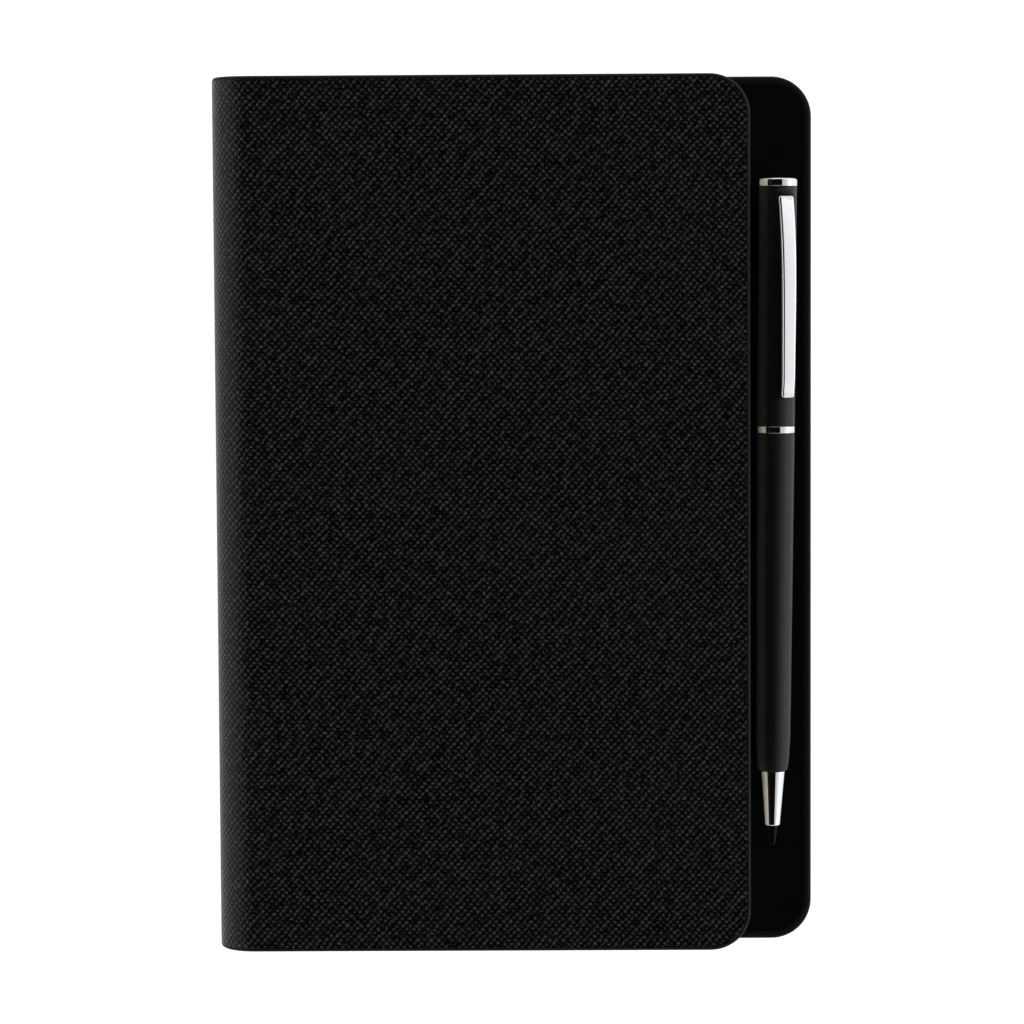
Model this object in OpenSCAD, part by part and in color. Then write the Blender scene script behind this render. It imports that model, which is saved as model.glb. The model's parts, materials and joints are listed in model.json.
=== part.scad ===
// Pocket notebook with a flexible wrapped case, a round spine and a short front
// cover. The bare strip of back cover beside the leaves carries a slim twist
// ballpoint. The book lies on its back cover: X runs from the spine to the
// fore-edge, Y from tail to head and Z up through the leaves.

/* [Notebook] */
// Overall width, from the round spine to the edge of the back cover
book_w = 122; // [110:1:135]
// Height of both covers, from tail to head
book_h = 178; // [160:1:200]
// Overall thickness when closed
book_t = 14.9; // [13:0.1:18]
// Width of the back cover that the front cover leaves bare for the pen
strip_w = 13.2; // [12:0.1:16]
// Radius of the two fore-edge corners of each cover
corner_r = 8.2; // [6:0.1:12]

/* [Covers] */
// Thickness of one finished cover
cover_t = 2.2; // [2:0.1:2.8]
// Thickness of the embossed covering
leather_t = 0.6; // [0.4:0.05:0.8]
// Thickness of the smooth lining sheet inside each cover
lining_t = 0.3; // [0.2:0.05:0.4]
// Width of the turned-in rim left visible round each lining
rim_w = 1.4; // [1:0.1:2.5]
// Width of the flexible joint between the spine and the front board
joint_w = 5; // [4:0.5:8]
// Thickness of the flexible card that keeps the spine round
liner_t = 1.4; // [0.8:0.1:1.4]

/* [Leaves] */
// How far the covers stand past the leaves at head, tail and fore-edge
square_w = 2.5; // [1.5:0.1:4]
// Thickness of one endpaper leaf
flyleaf_t = 0.15; // [0.1:0.01:0.2]
// Air between neighbouring bundles of leaves
leaf_gap = 0.02; // [0.01:0.01:0.05]
// Distance from the fold of a signature to where its leaves swing freely
fold_w = 0.6; // [0.5:0.1:1]
// Number of sewing stations along the spine
stations = 5; // [3:1:7]

/* [Pen] */
// Length from the top of the finial to the mouth of the tip
pen_len = 132.7; // [125:0.1:135]
// Radius of the upper barrel
pen_r = 3.9; // [3.6:0.05:4]
// Height of the bright finial band
finial_h = 1.65; // [1.5:0.05:3]
// Length of the upper barrel
upper_len = 48.8; // [46:0.1:52]
// Height of the bright ring between the barrels
ring_h = 1.4; // [0.8:0.05:2]
// Length of the bright tip
tip_len = 11.4; // [9:0.1:13]
// How far the writing point stands out of the tip
nib_out = 4.3; // [3:0.1:5]
// Angle that the pen leans from the book's long side
pen_lean = 0.5; // [0:0.1:1]
// Angle round the barrel from straight up to the clip
clip_turn = 23; // [0:1:60]
// Length of the clip outside the barrel
clip_len = 41.3; // [36:0.1:44]
// Width of the clip at its top
clip_w = 3.4; // [2.8:0.1:4]
// Width of the clip at its free end
clip_end_w = 2.8; // [2.4:0.1:2.8]
// Thickness of the clip's metal
clip_t = 0.8; // [0.5:0.05:1]

/* [Hidden] */
$fn = 96;
eps = 0.01;
slack = 0.05;

// Places across the book
x_left = -book_w / 2;
x_right = book_w / 2;
x_fold = x_left + book_t / 2;
x_front = x_right - strip_w;
x_board = x_fold + joint_w;
x_hinge = x_fold + 0.6;
x_leaf = x_hinge + fold_w;
x_fore = x_front - square_w;

// The stack of leaves between the two linings
signatures = 6;
leaf_h = book_h - 2 * square_w;
leaf_r = corner_r - square_w + 0.6;
z_stack = cover_t + leaf_gap;
stack_t = book_t - 2 * cover_t - 2 * leaf_gap;
pitch = (stack_t - 2 * (flyleaf_t + leaf_gap) + leaf_gap) / signatures;
sig_t = pitch - leaf_gap;

// The block's back, from the folds outwards
glue_t = 1.2;
x_glue = x_hinge - glue_t;
thread_r = 0.2;
mull_t = 0.3;
x_mull = x_glue - 2 * thread_r - mull_t - slack;
mull_margin = 9;
mull_edge = 0.2;
band_r = 0.8;
band_tab_h = 6;
band_tab_t = 0.25;
station_span = leaf_h * 0.76;

// Magnets under the lining of the pen strip
magnet_w = 6;
magnet_len = 20;
magnet_t = 1;
magnet_y = [36, -28];

// Stations along the pen, measured from the mouth of the tip
pen_z = cover_t + pen_r + 0.1 + 0.03;
pen_x = x_left + 114.3;
pen_y = 1.8;
lower_r = pen_r - 0.02;
z_lower = tip_len;
z_ring = pen_len - finial_h - upper_len - ring_h;
z_upper = z_ring + ring_h;
z_finial = pen_len - finial_h;
taper_h = 10.4;
waist_r = 3.58;
nose_r = 2.85;
tip_top_r = 2.55;
tip_end_r = 1.65;
bore_upper_r = 3.3;
bore_lower_r = 2.9;
bore_nose_r = 1.9;
bore_tip_r = 1.25;
sleeve_bore_r = 2.4;
cam_bore_r = 1.7;
refill_r = 1.15;

// Clip: its heights above the barrel, the slot that it comes out of and its tab
clip_top = pen_len - 3.25;
clip_first = 0.3;
clip_low = -0.7;
clip_rise = 2;
rise_len = 28;
clip_dip = 0.3;
dip_len = 4;
clip_foot = 0.12;
slot_top = 0.15;
slot_len = 3.95;
tab_w = 2.4;
tab_h = 1.4;
tab_drop = 1.7;
tab_inside = 0.5;

// ---- shapes used more than once ----

// Outline square at the spine and rounded at the two fore-edge corners
module outline(x0, x1, h, r) {
    translate([x0, -h / 2]) square([x1 - r - x0, h]);
    translate([x1 - r - eps, -h / 2 + r]) square([r + eps, h - 2 * r]);
    for (side = [-1, 1]) translate([x1 - r, side * (h / 2 - r)]) circle(r);
}

// Flat plate with that outline, between two heights
module plate(x0, x1, h, r, z0, z1) {
    translate([0, 0, z0]) linear_extrude(z1 - z0) outline(x0, x1, h, r);
}

// Plate set back from the cover's edge by inset
module inset_plate(x0, x1, inset, z0, z1) {
    plate(x0, x1 - inset, book_h - 2 * inset, corner_r - inset, z0, z1);
}

// Covering of one cover, outer face at z = 0: it wraps the board's edges and
// turns in to a narrow rim round the lining
module wrapped_cover(x0, x1) {
    difference() {
        inset_plate(x0, x1, 0, 0, cover_t);
        inset_plate(x0 - 1, x1, leather_t, leather_t, cover_t - lining_t);
        inset_plate(x0 - 1, x1, rim_w, cover_t - lining_t - eps, cover_t + 1);
    }
}

// Turns a shape made outer face down into the front cover's place
module as_front() {
    translate([0, 0, book_t]) mirror([0, 0, 1]) children();
}

// Extrudes an X-Z section along the book's height
module along_height(length) {
    rotate([90, 0, 0]) linear_extrude(length, center = true) children();
}

// Half ring round the spine's centre, on the spine side
module half_ring(r_out, thickness) {
    intersection() {
        translate([x_fold, book_t / 2]) difference() {
            circle(r_out);
            circle(r_out - thickness);
        }
        translate([x_fold - r_out - 1, 0]) square([r_out + 1, book_t]);
    }
}

// Lays the pen on the bare strip, its tip towards the tail of the book
module pen_place() {
    translate([pen_x, pen_y, pen_z])
        rotate([0, 0, -pen_lean]) rotate([-90, 0, 0])
            translate([0, 0, -pen_len / 2]) children();
}

// Tube along the pen between two stations
module tube(r_out, r_in, z0, z1) {
    translate([0, 0, z0]) difference() {
        cylinder(r = r_out, h = z1 - z0);
        translate([0, 0, -1]) cylinder(r = r_in, h = z1 - z0 + 2);
    }
}

// ---- case ----

module front_leather() {
    color("#141415") as_front() wrapped_cover(x_board, x_front);
}

module front_board() {
    color("#8a8378") as_front()
        inset_plate(x_board, x_front, leather_t + slack, leather_t, cover_t - lining_t);
}

module front_lining() {
    color("#0c0c0d") as_front()
        inset_plate(x_board, x_front, rim_w + slack, cover_t - lining_t, cover_t);
}

// The covering goes round the spine and on over the flexible joint
module spine_leather() {
    color("#141415") along_height(book_h) {
        half_ring(book_t / 2, leather_t);
        translate([x_fold - eps, book_t - leather_t]) square([joint_w + eps, leather_t]);
    }
}

module spine_liner() {
    z_top = book_t - leather_t - slack;
    color("#3a3a3a") along_height(book_h - 2 * rim_w) {
        half_ring(book_t / 2 - leather_t - slack, liner_t);
        translate([x_fold - eps, z_top - liner_t]) square([joint_w - slack, liner_t]);
    }
}

module back_leather() {
    color("#141415") wrapped_cover(x_fold, x_right);
}

module magnet_pocket(y, margin) {
    w = magnet_w + 2 * margin;
    len = magnet_len + 2 * margin;
    translate([pen_x - w / 2, y - len / 2, cover_t - lining_t - magnet_t - margin])
        cube([w, len, magnet_t + margin + (margin > 0 ? 1 : 0)]);
}

module back_board() {
    color("#8a8378") difference() {
        inset_plate(x_fold, x_right, leather_t + slack, leather_t, cover_t - lining_t);
        for (y = magnet_y) magnet_pocket(y, slack);
    }
}

module back_lining() {
    color("#0c0c0d")
        inset_plate(x_fold, x_right, rim_w + slack, cover_t - lining_t, cover_t);
}

module pen_magnets() {
    color("#b9bcc0") for (y = magnet_y) magnet_pocket(y, 0);
}

// ---- block's back ----

module spine_glue() {
    color("#e6e0c8")
        translate([x_glue, -leaf_h / 2, z_stack])
            cube([glue_t, leaf_h, stack_t]);
}

// One run of thread over the folds at each sewing station
module sewing_thread() {
    color("#f4f1e6") for (i = [0:stations - 1]) {
        y = -station_span / 2 + i * station_span / (stations - 1);
        translate([x_glue - thread_r - slack / 2, y, z_stack + pitch / 2])
            cylinder(r = thread_r, h = stack_t - pitch);
    }
}

module spine_mull() {
    color("#d8d3c2")
        translate([x_mull, -leaf_h / 2 + mull_margin, z_stack + mull_edge])
            cube([mull_t, leaf_h - 2 * mull_margin, stack_t - 2 * mull_edge]);
}

// Round cloth bead over the leaves' edge, with a tab glued to the block's back
module end_band(side) {
    y_edge = leaf_h / 2;
    translate([x_glue + glue_t / 2, side * (y_edge + band_r + slack), z_stack])
        cylinder(r = band_r, h = stack_t);
    y_tab = y_edge - band_tab_h;
    translate([x_glue - slack - band_tab_t, side > 0 ? y_tab : -y_edge - band_r, z_stack])
        cube([band_tab_t, band_tab_h + band_r, stack_t]);
    translate([x_glue - slack - band_tab_t, side * (y_edge + band_r) - 0.15, z_stack])
        cube([glue_t / 2, 0.3, stack_t]);
}

module headband() {
    color("#e9e7df") end_band(1);
}

module tailband() {
    color("#e9e7df") end_band(-1);
}

// ---- leaves ----

module leaves(z0, thickness) {
    color("#f1ead8") plate(x_leaf, x_fore, leaf_h, leaf_r, z0, z0 + thickness);
}

// Signatures are numbered from the front cover down
module signature(i) {
    z_top = z_stack + stack_t - flyleaf_t - leaf_gap - (i - 1) * pitch;
    leaves(z_top - sig_t, sig_t);
}

module front_flyleaf() {
    leaves(z_stack + stack_t - flyleaf_t, flyleaf_t);
}

module back_flyleaf() {
    leaves(z_stack, flyleaf_t);
}

// ---- pen ----

module pen_finial() {
    edge = 0.5;
    stem = 1.5;
    color("#d9dbde") pen_place() {
        rotate_extrude() polygon(concat(
            [[0, z_finial], [pen_r + 0.1, z_finial]],
            [for (a = [0:15:90]) [pen_r + 0.1 - edge + edge * cos(a),
                                  pen_len - edge + edge * sin(a)]],
            [[0, pen_len]]));
        translate([0, 0, z_finial - stem])
            cylinder(r = bore_upper_r - slack, h = stem + eps);
    }
}

module pen_upper_barrel() {
    color("#101011") pen_place() difference() {
        tube(pen_r, bore_upper_r, z_upper, z_finial);
        rotate([0, 0, clip_turn - 90])
            translate([bore_upper_r - 1, -clip_w / 2 - slack, clip_top - slot_top - slot_len])
                cube([3, clip_w + 2 * slack, slot_len]);
    }
}

function ease(t) = let(u = min(max(t, 0), 1)) u * u * (3 - 2 * u);

// Height of the clip above the barrel, at a distance s below its top. It comes out
// of the slot, leans away from the barrel and turns in a little at its end.
function stand(s) = clip_low + clip_rise * (1 - pow(1 - min(s / rise_len, 1), 3))
    - clip_dip * ease((s - clip_len + dip_len) / dip_len);

// Side view of the clip: distance from the pen's axis against height
module clip_side() {
    steps = 24;
    drops = [for (i = [0:steps]) clip_first + (clip_len - clip_first) * i / steps];
    polygon(concat(
        [for (s = drops) [pen_r + clip_t + stand(s), clip_top - s]],
        [for (i = [steps:-1:0]) [pen_r + stand(drops[i]), clip_top - drops[i]]]));
}

// Front view of the clip, with small round corners at its free end
module clip_front() {
    end_r = 0.9;
    z_end = clip_top - clip_len;
    half = clip_end_w / 2;
    polygon([[-clip_w / 2, clip_top], [clip_w / 2, clip_top],
             [half, z_end + end_r], [half - end_r, z_end],
             [end_r - half, z_end], [-half, z_end + end_r]]);
    for (side = [-1, 1])
        translate([side * (half - end_r), z_end + end_r]) circle(end_r);
}

// Foot under the clip's free end, which rests on the barrel
module foot_side() {
    z_end = clip_top - clip_len;
    x_in = pen_r + stand(clip_len) + clip_t / 2;
    polygon([[x_in, z_end + 0.5], [pen_r + clip_foot, z_end + 1.4],
             [pen_r + clip_foot, z_end + 2.1], [x_in, z_end + 3]]);
}

module pen_clip() {
    color("#d9dbde") pen_place() rotate([0, 0, clip_turn - 90]) {
        intersection() {
            rotate([90, 0, 0]) linear_extrude(clip_w + 2, center = true) clip_side();
            translate([-1, 0, 0]) rotate([90, 0, 90]) linear_extrude(10) clip_front();
        }
        rotate([90, 0, 0]) linear_extrude(tab_w, center = true) foot_side();
        translate([bore_upper_r - tab_inside, -tab_w / 2, clip_top - tab_drop - tab_h / 2])
            cube([pen_r - bore_upper_r + tab_inside, tab_w, tab_h]);
    }
}

module pen_ring() {
    color("#d9dbde") pen_place()
        tube(pen_r + 0.05, bore_upper_r - 0.1, z_ring + slack, z_upper);
}

// Fixed part of the twist mechanism, pressed into the upper barrel
module pen_sleeve() {
    color("#c9a24a") pen_place() {
        tube(bore_upper_r - slack, sleeve_bore_r, z_upper + slack, clip_top - 8);
        tube(bore_lower_r - slack, sleeve_bore_r, z_ring - 8, z_upper + slack + eps);
    }
}

// Outside of the lower barrel: a slight taper, then a rounded shoulder
function lower_profile() = concat(
    [[lower_r, z_ring], [waist_r, z_lower + taper_h]],
    [for (a = [10:10:90])
        [nose_r + (waist_r - nose_r) * cos(a), z_lower + taper_h * (1 - sin(a))]]);

module pen_lower_barrel() {
    color("#101011") pen_place() difference() {
        rotate_extrude() polygon(concat([[0, z_lower], [0, z_ring]], lower_profile()));
        translate([0, 0, z_lower + 18]) cylinder(r = bore_lower_r, h = pen_len);
        translate([0, 0, z_lower - 1]) cylinder(r = bore_nose_r, h = 30);
    }
}

// Bright tip with a rounded mouth, screwed into the lower barrel by its stem
module pen_tip() {
    mouth = 0.35;
    color("#d9dbde") pen_place() difference() {
        union() {
            rotate_extrude() polygon(concat(
                [[0, z_lower], [tip_top_r, z_lower]],
                [for (a = [0:15:90]) [tip_end_r - mouth + mouth * cos(a),
                                      mouth - mouth * sin(a)]],
                [[0, 0]]));
            translate([0, 0, z_lower - eps]) cylinder(r = bore_nose_r - slack, h = 5);
        }
        translate([0, 0, -1]) cylinder(r = bore_tip_r, h = z_lower + 8);
    }
}

// Turning part of the mechanism: its foot is pressed into the lower barrel and
// its stem turns inside the sleeve
module pen_cam() {
    z_foot = z_ring - 22;
    color("#e8e6df") pen_place() {
        tube(bore_lower_r - slack, cam_bore_r, z_foot, z_foot + 12);
        tube(sleeve_bore_r - slack, cam_bore_r, z_foot + 12 - eps, clip_top - 12);
    }
}

// Slides in the cam's bore and carries the refill
module pen_refill_holder() {
    color("#4a4d52") pen_place()
        translate([0, 0, z_ring - 14]) cylinder(r = cam_bore_r - slack, h = 26);
}

module pen_refill_tube() {
    color("#c9a24a") pen_place()
        translate([0, 0, 4]) cylinder(r = refill_r, h = z_ring - 18);
}

// Writing point: a short shank, then the cone that holds the ball
module pen_refill_point() {
    color("#2b2b2d") pen_place() rotate_extrude() polygon([
        [0, 4], [refill_r, 4], [refill_r, -0.4], [1, -0.8], [0.65, -nib_out + 0.3],
        [0.35, -nib_out], [0, -nib_out]]);
}

front_leather();
front_board();
front_lining();
spine_leather();
spine_liner();
back_leather();
back_board();
back_lining();
pen_magnets();
spine_glue();
sewing_thread();
spine_mull();
headband();
tailband();
front_flyleaf();
signature(1);  // signature_1
signature(2);  // signature_2
signature(3);  // signature_3
signature(4);  // signature_4
signature(5);  // signature_5
signature(6);  // signature_6
back_flyleaf();
pen_finial();
pen_upper_barrel();
pen_clip();
pen_ring();
pen_sleeve();
pen_lower_barrel();
pen_tip();
pen_cam();
pen_refill_holder();
pen_refill_tube();
pen_refill_point();
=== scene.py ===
"""Looks of a pocket notebook and of the slim twist pen that lies beside its leaves.

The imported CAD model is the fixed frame: X runs from the round spine to the fore-edge, Y from tail
to head and Z up through the leaves. Every length below is in metres, made from millimetres by MM.
"""
import json
import logging
import math
import random
from dataclasses import dataclass, field
from enum import Enum
from typing import Callable, Sequence, Union

import bmesh
import bpy
from mathutils import Matrix, Vector


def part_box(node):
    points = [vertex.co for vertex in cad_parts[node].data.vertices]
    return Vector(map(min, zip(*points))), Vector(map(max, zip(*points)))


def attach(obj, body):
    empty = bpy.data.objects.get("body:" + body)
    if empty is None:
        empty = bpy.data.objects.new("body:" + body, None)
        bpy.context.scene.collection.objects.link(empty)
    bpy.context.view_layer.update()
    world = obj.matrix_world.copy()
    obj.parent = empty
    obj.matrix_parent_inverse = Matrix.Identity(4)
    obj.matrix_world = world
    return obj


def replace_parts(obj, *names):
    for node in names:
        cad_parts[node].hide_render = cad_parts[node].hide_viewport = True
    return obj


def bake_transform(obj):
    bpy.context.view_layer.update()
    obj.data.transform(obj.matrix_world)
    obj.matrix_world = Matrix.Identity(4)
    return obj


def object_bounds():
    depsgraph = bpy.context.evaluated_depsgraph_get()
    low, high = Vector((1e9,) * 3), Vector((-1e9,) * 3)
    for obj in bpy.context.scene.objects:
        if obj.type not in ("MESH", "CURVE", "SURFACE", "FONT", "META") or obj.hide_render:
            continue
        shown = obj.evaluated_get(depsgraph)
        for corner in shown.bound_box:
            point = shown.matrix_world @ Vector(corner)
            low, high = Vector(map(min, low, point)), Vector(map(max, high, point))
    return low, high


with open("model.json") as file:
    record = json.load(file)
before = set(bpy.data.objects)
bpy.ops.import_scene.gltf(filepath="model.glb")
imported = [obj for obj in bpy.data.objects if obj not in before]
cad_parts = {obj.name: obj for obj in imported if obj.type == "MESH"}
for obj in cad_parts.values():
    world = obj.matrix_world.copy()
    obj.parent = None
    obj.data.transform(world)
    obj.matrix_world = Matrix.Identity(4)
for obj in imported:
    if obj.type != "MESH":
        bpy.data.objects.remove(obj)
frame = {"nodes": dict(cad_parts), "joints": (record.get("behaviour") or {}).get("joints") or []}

CAD_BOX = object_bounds()
MM = 0.001
TINY = 0.002 * MM
SHEET_UV = "sheet"
PRESSED = "pressed"
log = logging.getLogger("notebook")

Tree = bpy.types.NodeTree
Node = bpy.types.Node
Socket = bpy.types.NodeSocket
Mesh = bmesh.types.BMesh
Value = Union[float, Sequence[float], Socket]
Edges = list[bmesh.types.BMEdge]
Element = Union[bmesh.types.BMVert, bmesh.types.BMEdge, bmesh.types.BMFace]


# ---- shader helpers ----


def linear(code: str) -> tuple[float, float, float, float]:
    """Turns an sRGB hex colour into linear light.

    Args:
        code: The colour as "#rrggbb".

    Returns:
        Red, green, blue and an alpha of one, in linear light.
    """
    parts = [int(code[i:i + 2], 16) / 255 for i in (1, 3, 5)]
    light = [c / 12.92 if c <= 0.04045 else ((c + 0.055) / 1.055) ** 2.4 for c in parts]
    return light[0], light[1], light[2], 1.0


def add_node(tree: Tree, kind: str, settings: dict[str, object] | None = None,
             inputs: dict[str | int, Value] | None = None) -> Node:
    """Adds one node with its settings, values and links.

    Args:
        tree: The tree that gets the node.
        kind: The node's type.
        settings: Properties of the node.
        inputs: Values or sockets for its inputs, by the input's name or place.

    Returns:
        The new node.
    """
    made = tree.nodes.new(kind)
    for name, setting in (settings or {}).items():
        setattr(made, name, setting)
    for key, value in (inputs or {}).items():
        if isinstance(value, Socket):
            tree.links.new(value, made.inputs[key])
        else:
            made.inputs[key].default_value = value
    return made


def bands_per_metre(pitch: float) -> float:
    """Returns the Wave texture's scale for bands that repeat at a pitch in metres."""
    return 2 * math.pi / 20 / pitch


# ---- finishes ----


@dataclass(frozen=True)
class Finish:
    """A finish with plain values; each kind of surface adds its own pattern."""

    name: str
    colour: str
    roughness: float
    metallic: float = 0.0
    specular: float = 0.5

    def make(self) -> bpy.types.Material:
        """Builds the material.

        Returns:
            The material, named for the finish.
        """
        material = bpy.data.materials.new(self.name)
        material.use_nodes = True
        tree = material.node_tree
        tree.nodes.clear()
        shader = add_node(tree, "ShaderNodeBsdfPrincipled", inputs={
            "Base Color": linear(self.colour), "Roughness": self.roughness,
            "Metallic": self.metallic, "Specular IOR Level": self.specular})
        add_node(tree, "ShaderNodeOutputMaterial", inputs={"Surface": shader.outputs["BSDF"]})
        self.pattern(tree, shader)
        return material

    def pattern(self, tree: Tree, shader: Node) -> None:
        """Adds this kind of surface's pattern; a plain finish has none."""

    def place(self, tree: Tree) -> Socket:
        """Returns the Object coordinates, which stay with the piece as it moves."""
        return add_node(tree, "ShaderNodeTexCoord").outputs["Object"]

    def noise(self, tree: Tree, place: Socket, size: float, detail: float,
              output: str = "Fac") -> Socket:
        """Returns soft noise whose patches have a size in metres."""
        return add_node(tree, "ShaderNodeTexNoise", inputs={
            "Vector": place, "Scale": 1 / size, "Detail": detail}).outputs[output]

    def maths(self, tree: Tree, operation: str, *values: float | Socket,
              clamp: bool = False) -> Socket:
        """Returns what one sum makes of some values."""
        return add_node(tree, "ShaderNodeMath", {"operation": operation, "use_clamp": clamp},
                        dict(enumerate(values))).outputs[0]

    def bump(self, tree: Tree, shader: Node, height: Socket, depth: float) -> None:
        """Raises the surface by a height pattern.

        Args:
            tree: The material's tree.
            shader: The shader whose normal is bent.
            height: The pattern, from 0 to 1.
            depth: How high 1 stands above 0, in metres.
        """
        made = add_node(tree, "ShaderNodeBump", inputs={
            "Strength": 1.0, "Distance": depth, "Height": height})
        tree.links.new(made.outputs["Normal"], shader.inputs["Normal"])

    def tint(self, tree: Tree, shader: Node, share: Socket, other: str, low: float = 0.0,
             high: float = 1.0) -> None:
        """Varies the colour between the finish's own and another.

        Args:
            tree: The material's tree.
            shader: The shader that is coloured.
            share: Where the other colour shows.
            other: The other colour, as hex.
            low: The share at which only the finish's own colour shows.
            high: The share at which only the other one does.
        """
        ramp = add_node(tree, "ShaderNodeValToRGB", inputs={"Fac": share})
        first, last = ramp.color_ramp.elements
        first.position, first.color = low, linear(self.colour)
        last.position, last.color = high, linear(other)
        tree.links.new(ramp.outputs["Color"], shader.inputs["Base Color"])

    def smear(self, tree: Tree, shader: Node, place: Socket, size: float, less: float,
              more: float) -> Socket:
        """Varies the gloss in soft smears.

        Args:
            tree: The material's tree.
            shader: The shader whose roughness varies.
            place: The coordinates.
            size: The smears' size, in metres.
            less: How far the roughness goes below the finish's own.
            more: How far it goes above.

        Returns:
            The smears, from 0 to 1.
        """
        smears = self.noise(tree, place, size, 3.0)
        rough = add_node(tree, "ShaderNodeMapRange", inputs={
            "Value": smears, "To Min": self.roughness - less, "To Max": self.roughness + more})
        tree.links.new(rough.outputs["Result"], shader.inputs["Roughness"])
        return smears


@dataclass(frozen=True)
class CrossGrain(Finish):
    """Polyurethane leathercloth embossed with a cross grain: fine slanting ridges one way and
    weaker ones the other, none quite regular, so that it glints in short dashes. Where it is
    pulled round an edge, the pressed attribute is 1 and the grain is flat."""

    strong_pitch: float = 1.06 * MM
    strong_slant: float = 48.0
    strong_dash: float = 2.6 * MM
    weak_pitch: float = 1.0 * MM
    weak_slant: float = 135.0
    weak_dash: float = 1.7 * MM
    weak_share: float = 0.8
    break_from: float = 0.35
    break_to: float = 0.6
    broken_height: float = 0.62
    relief: float = 0.14 * MM
    wander: float = 0.85 * MM
    wander_length: float = 2.3 * MM
    speck: float = 0.46 * MM
    speck_share: float = 1.0
    # Below this share of the grain the colour stays the near-black base: painted shade in the
    # hollows.
    painted_shade_hollows_below: float = 0.46
    patch: float = 22 * MM
    patch_gloss: float = 0.06
    pressed_dulling: float = 0.26
    # Colour of the ridge tops: painted light on the grain.
    painted_light_ridge_colour: str = "#454547"

    def ridges(self, tree: Tree, place: Socket, pitch: float, slant: float, dash: float) -> Socket:
        """Draws one set of ridges.

        Args:
            tree: The material's tree.
            place: The coordinates on the sheet.
            pitch: The distance from one ridge to the next, in metres.
            slant: The ridges' direction, in degrees from the book's width.
            dash: The length of the dashes that the ridges break into, in metres.

        Returns:
            Their height, from 0 to 1.
        """
        turned = add_node(tree, "ShaderNodeMapping", inputs={
            "Vector": place, "Rotation": (0.0, 0.0, math.radians(90 - slant))})
        wave = add_node(tree, "ShaderNodeTexWave", {"wave_profile": "SIN"}, {
            "Vector": turned.outputs["Vector"], "Scale": bands_per_metre(pitch)})
        squeezed = add_node(tree, "ShaderNodeMapping", inputs={
            "Vector": turned.outputs["Vector"], "Scale": (1 / pitch, 1 / dash, 1.0)})
        share = add_node(tree, "ShaderNodeMapRange", inputs={
            "Value": self.noise(tree, squeezed.outputs["Vector"], 1.0, 1.0),
            "From Min": self.break_from, "From Max": self.break_to,
            "To Min": self.broken_height, "To Max": 1.0})
        return self.maths(tree, "MULTIPLY", wave.outputs["Fac"], share.outputs["Result"])

    def pattern(self, tree: Tree, shader: Node) -> None:
        """Adds the two sets of ridges, fine specks, painted light on the ridge tops with painted
        shade in the hollows, and a faint unevenness.
        """
        sheet = add_node(tree, "ShaderNodeUVMap", {"uv_map": SHEET_UV}).outputs["UV"]
        drift = self.noise(tree, sheet, self.wander_length, 1.5, "Color")
        centred = add_node(tree, "ShaderNodeVectorMath", {"operation": "SUBTRACT"}, {
            0: drift, 1: (0.5, 0.5, 0.5)})
        moved = add_node(tree, "ShaderNodeVectorMath", {"operation": "MULTIPLY_ADD"}, {
            0: centred.outputs[0], 1: (self.wander,) * 3, 2: sheet}).outputs[0]
        strong = self.ridges(tree, moved, self.strong_pitch, self.strong_slant, self.strong_dash)
        weak = self.ridges(tree, moved, self.weak_pitch, self.weak_slant, self.weak_dash)
        height = self.maths(tree, "MULTIPLY_ADD", weak, self.weak_share, strong)
        even = self.maths(tree, "DIVIDE", height, 1 + self.weak_share)
        raised = self.maths(tree, "SUBTRACT", self.noise(tree, sheet, self.speck, 1.0), 0.5)
        share = self.maths(tree, "MULTIPLY_ADD", raised, self.speck_share, even, clamp=True)
        pressed = add_node(tree, "ShaderNodeAttribute", {"attribute_name": PRESSED}).outputs["Fac"]
        grain = self.maths(tree, "MULTIPLY", share, self.maths(tree, "SUBTRACT", 1.0, pressed))
        self.bump(tree, shader, grain, self.relief)
        # Painted light and shade: the ridge tops are coloured lighter and the hollows stay near
        # black, standing in for the grain catching and hiding the light.
        self.tint(tree, shader, grain, self.painted_light_ridge_colour, self.painted_shade_hollows_below)
        rough = add_node(tree, "ShaderNodeMapRange", inputs={
            "Value": self.noise(tree, sheet, self.patch, 2.0),
            "To Min": self.roughness - self.patch_gloss,
            "To Max": self.roughness + self.patch_gloss})
        duller = self.maths(tree, "MULTIPLY_ADD", pressed, self.pressed_dulling,
                            rough.outputs["Result"])
        tree.links.new(duller, shader.inputs["Roughness"])


@dataclass(frozen=True)
class Grained(Finish):
    """A surface with a fine random grain: smooth lining, board, paper, glue or moulded plastic."""

    grain: float = 0.4 * MM
    relief: float = 0.01 * MM
    other: str = ""
    patch: float = 6 * MM

    def pattern(self, tree: Tree, shader: Node) -> None:
        """Adds the grain and, where the finish has a second colour, its patches."""
        place = self.place(tree)
        self.bump(tree, shader, self.noise(tree, place, self.grain, 3.0), self.relief)
        if self.other:
            broad = self.noise(tree, place, self.patch, 4.0)
            self.tint(tree, shader, broad, self.other, 0.3, 0.7)


@dataclass(frozen=True)
class Woven(Finish):
    """Cloth or thread: two crossing sets of yarns, or one where the piece is a twisted thread."""

    yarn: float = 0.5 * MM
    other: str = "#b8b09a"
    crossed: bool = True

    def pattern(self, tree: Tree, shader: Node) -> None:
        """Adds the yarns' relief and their shaded gaps."""
        place = self.place(tree)
        sets = [add_node(tree, "ShaderNodeTexWave", {"bands_direction": direction}, {
            "Vector": place, "Scale": bands_per_metre(self.yarn), "Distortion": 0.6,
            "Detail": 1.0}).outputs["Fac"] for direction in ("ZY" if self.crossed else "Z")]
        height = self.maths(tree, "MAXIMUM", *sets) if self.crossed else sets[0]
        self.bump(tree, shader, height, 0.3 * self.yarn)
        self.tint(tree, shader, height, self.other, 0.9, 0.1)


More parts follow.
